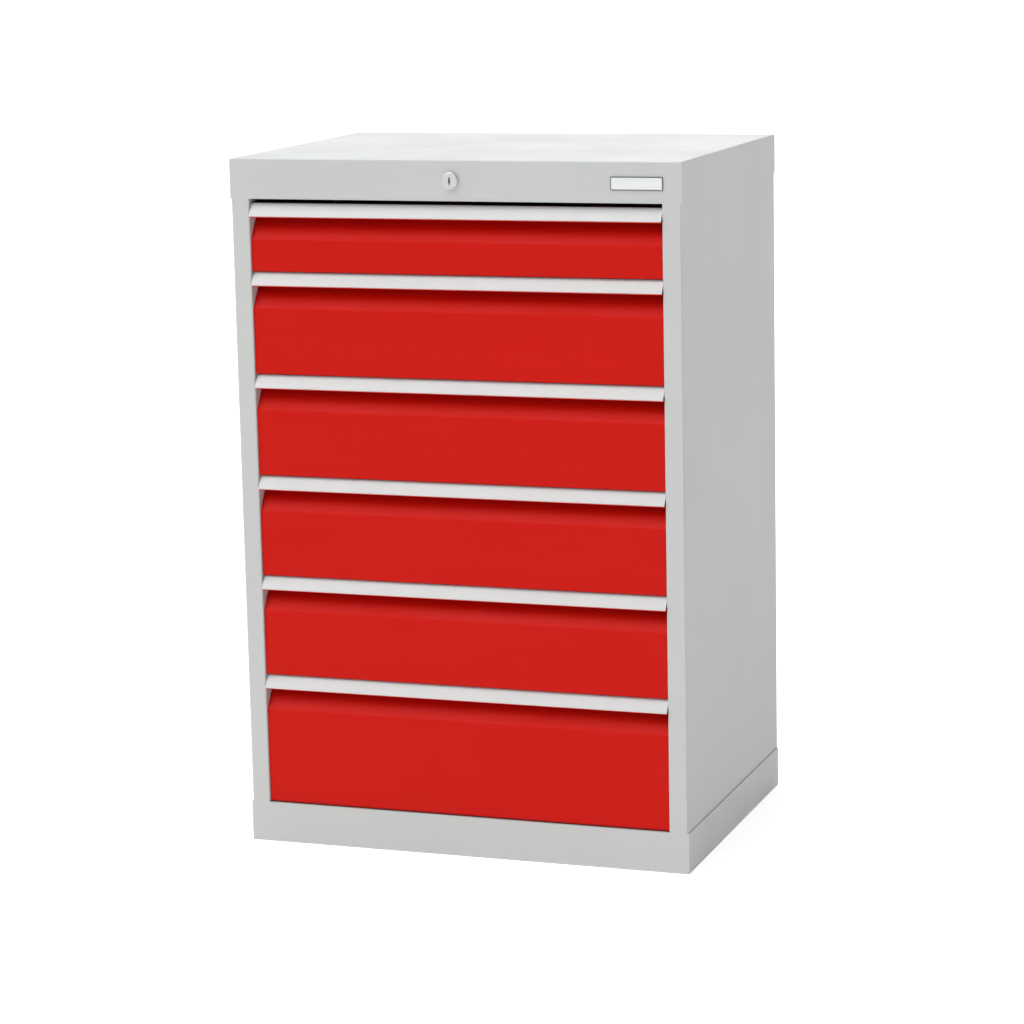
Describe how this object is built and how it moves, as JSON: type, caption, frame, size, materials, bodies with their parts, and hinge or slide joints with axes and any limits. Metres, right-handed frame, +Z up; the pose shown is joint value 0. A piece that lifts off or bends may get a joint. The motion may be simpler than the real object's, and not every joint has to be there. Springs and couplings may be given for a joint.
{
  "type": "drawer cabinet",
  "caption": "Free-standing folded-steel drawer cabinet with full-width drawers on telescopic runners, sloped grip strips and a central lock in the cap's front.",
  "frame": {"origin": "on the floor, under the middle of the cabinet's overall box", "axes": "+Z up, +X to the right as seen from the front, +Y towards the back"},
  "size_m": [0.68, 0.505, 1.019],
  "materials": {
    "casing_paint": "satin light grey powder coat",
    "front_paint": "satin red powder coat",
    "tray_paint": "satin light grey powder coat",
    "strip_aluminium": "matt anodised",
    "runner_steel": "bright zinc plated",
    "zinc_steel": "zinc plated",
    "lock_nickel": "matt nickel plated",
    "buffer_rubber": "matt black"
  },
  "bodies": {
    "casing": {"side_panel_left": "casing_paint", "side_panel_right": "casing_paint", "rear_panel": "casing_paint", "top_cover": "casing_paint", "bottom_panel": "casing_paint", "base_plinth": "casing_paint", "upright_front_left": "runner_steel", "upright_front_right": "runner_steel", "upright_rear_left": "runner_steel", "upright_rear_right": "runner_steel", "cabinet_rail_1": "runner_steel", "cabinet_rail_2": "runner_steel", "cabinet_rail_3": "runner_steel", "cabinet_rail_4": "runner_steel", "cabinet_rail_5": "runner_steel", "cabinet_rail_6": "runner_steel", "rail_buffers": "buffer_rubber", "lock_housing": "lock_nickel", "lock_nut": "zinc_steel", "slider_guides": "zinc_steel", "bar_guides": "zinc_steel"},
    "drawer_1": {"drawer_tray_1": "tray_paint", "drawer_front_1": "front_paint", "handle_strip_1": "strip_aluminium", "drawer_rail_1": "runner_steel"},
    "middle_rails_1": {"middle_rail_1": "runner_steel"},
    "drawer_2": {"drawer_tray_2": "tray_paint", "drawer_front_2": "front_paint", "handle_strip_2": "strip_aluminium", "drawer_rail_2": "runner_steel"},
    "middle_rails_2": {"middle_rail_2": "runner_steel"},
    "drawer_3": {"drawer_tray_3": "tray_paint", "drawer_front_3": "front_paint", "handle_strip_3": "strip_aluminium", "drawer_rail_3": "runner_steel"},
    "middle_rails_3": {"middle_rail_3": "runner_steel"},
    "drawer_4": {"drawer_tray_4": "tray_paint", "drawer_front_4": "front_paint", "handle_strip_4": "strip_aluminium", "drawer_rail_4": "runner_steel"},
    "middle_rails_4": {"middle_rail_4": "runner_steel"},
    "drawer_5": {"drawer_tray_5": "tray_paint", "drawer_front_5": "front_paint", "handle_strip_5": "strip_aluminium", "drawer_rail_5": "runner_steel"},
    "middle_rails_5": {"middle_rail_5": "runner_steel"},
    "drawer_6": {"drawer_tray_6": "tray_paint", "drawer_front_6": "front_paint", "handle_strip_6": "strip_aluminium", "drawer_rail_6": "runner_steel"},
    "middle_rails_6": {"middle_rail_6": "runner_steel"},
    "lock_plug": {"lock_plug": "lock_nickel", "lock_cam": "zinc_steel", "cam_screw": "zinc_steel"},
    "lock_slider": {"lock_slider": "zinc_steel"},
    "locking_bar": {"locking_bar": "zinc_steel", "lock_tongues": "zinc_steel"}
  },
  "joints": [
    {"name": "drawer_slide_1", "type": "slide", "parent": "casing", "child": "drawer_1", "axis": [0, -1, 0], "range_m": [0, 0.42]},
    {"name": "middle_slide_1", "type": "slide", "parent": "casing", "child": "middle_rails_1", "axis": [0, -1, 0], "range_m": [0, 0.21]},
    {"name": "drawer_slide_2", "type": "slide", "parent": "casing", "child": "drawer_2", "axis": [0, -1, 0], "range_m": [0, 0.42]},
    {"name": "middle_slide_2", "type": "slide", "parent": "casing", "child": "middle_rails_2", "axis": [0, -1, 0], "range_m": [0, 0.21]},
    {"name": "drawer_slide_3", "type": "slide", "parent": "casing", "child": "drawer_3", "axis": [0, -1, 0], "range_m": [0, 0.42]},
    {"name": "middle_slide_3", "type": "slide", "parent": "casing", "child": "middle_rails_3", "axis": [0, -1, 0], "range_m": [0, 0.21]},
    {"name": "drawer_slide_4", "type": "slide", "parent": "casing", "child": "drawer_4", "axis": [0, -1, 0], "range_m": [0, 0.42]},
    {"name": "middle_slide_4", "type": "slide", "parent": "casing", "child": "middle_rails_4", "axis": [0, -1, 0], "range_m": [0, 0.21]},
    {"name": "drawer_slide_5", "type": "slide", "parent": "casing", "child": "drawer_5", "axis": [0, -1, 0], "range_m": [0, 0.42]},
    {"name": "middle_slide_5", "type": "slide", "parent": "casing", "child": "middle_rails_5", "axis": [0, -1, 0], "range_m": [0, 0.21]},
    {"name": "drawer_slide_6", "type": "slide", "parent": "casing", "child": "drawer_6", "axis": [0, -1, 0], "range_m": [0, 0.42]},
    {"name": "middle_slide_6", "type": "slide", "parent": "casing", "child": "middle_rails_6", "axis": [0, -1, 0], "range_m": [0, 0.21]},
    {"name": "bar_lift", "type": "slide", "parent": "casing", "child": "locking_bar", "axis": [0, 0, 1], "range_m": [0, 0.01202]},
    {"name": "slider_shift", "type": "slide", "parent": "casing", "child": "lock_slider", "axis": [-1, 0, 0], "range_m": [0, 0.01202]},
    {"name": "lock_turn", "type": "hinge", "parent": "casing", "child": "lock_plug", "pos_m": [0, -0.2475, 0.99], "axis": [0, 1, 0], "range_deg": [0, 90]}
  ],
  "couplings": [
    {"joint": "middle_slide_1", "follows": "drawer_slide_1", "ratio": 0.5},
    {"joint": "middle_slide_2", "follows": "drawer_slide_2", "ratio": 0.5},
    {"joint": "middle_slide_3", "follows": "drawer_slide_3", "ratio": 0.5},
    {"joint": "middle_slide_4", "follows": "drawer_slide_4", "ratio": 0.5},
    {"joint": "middle_slide_5", "follows": "drawer_slide_5", "ratio": 0.5},
    {"joint": "middle_slide_6", "follows": "drawer_slide_6", "ratio": 0.5},
    {"joint": "slider_shift", "follows": "bar_lift", "ratio": 1},
    {"joint": "lock_turn", "follows": "bar_lift", "rad_per_m": 130.67}
  ]
}
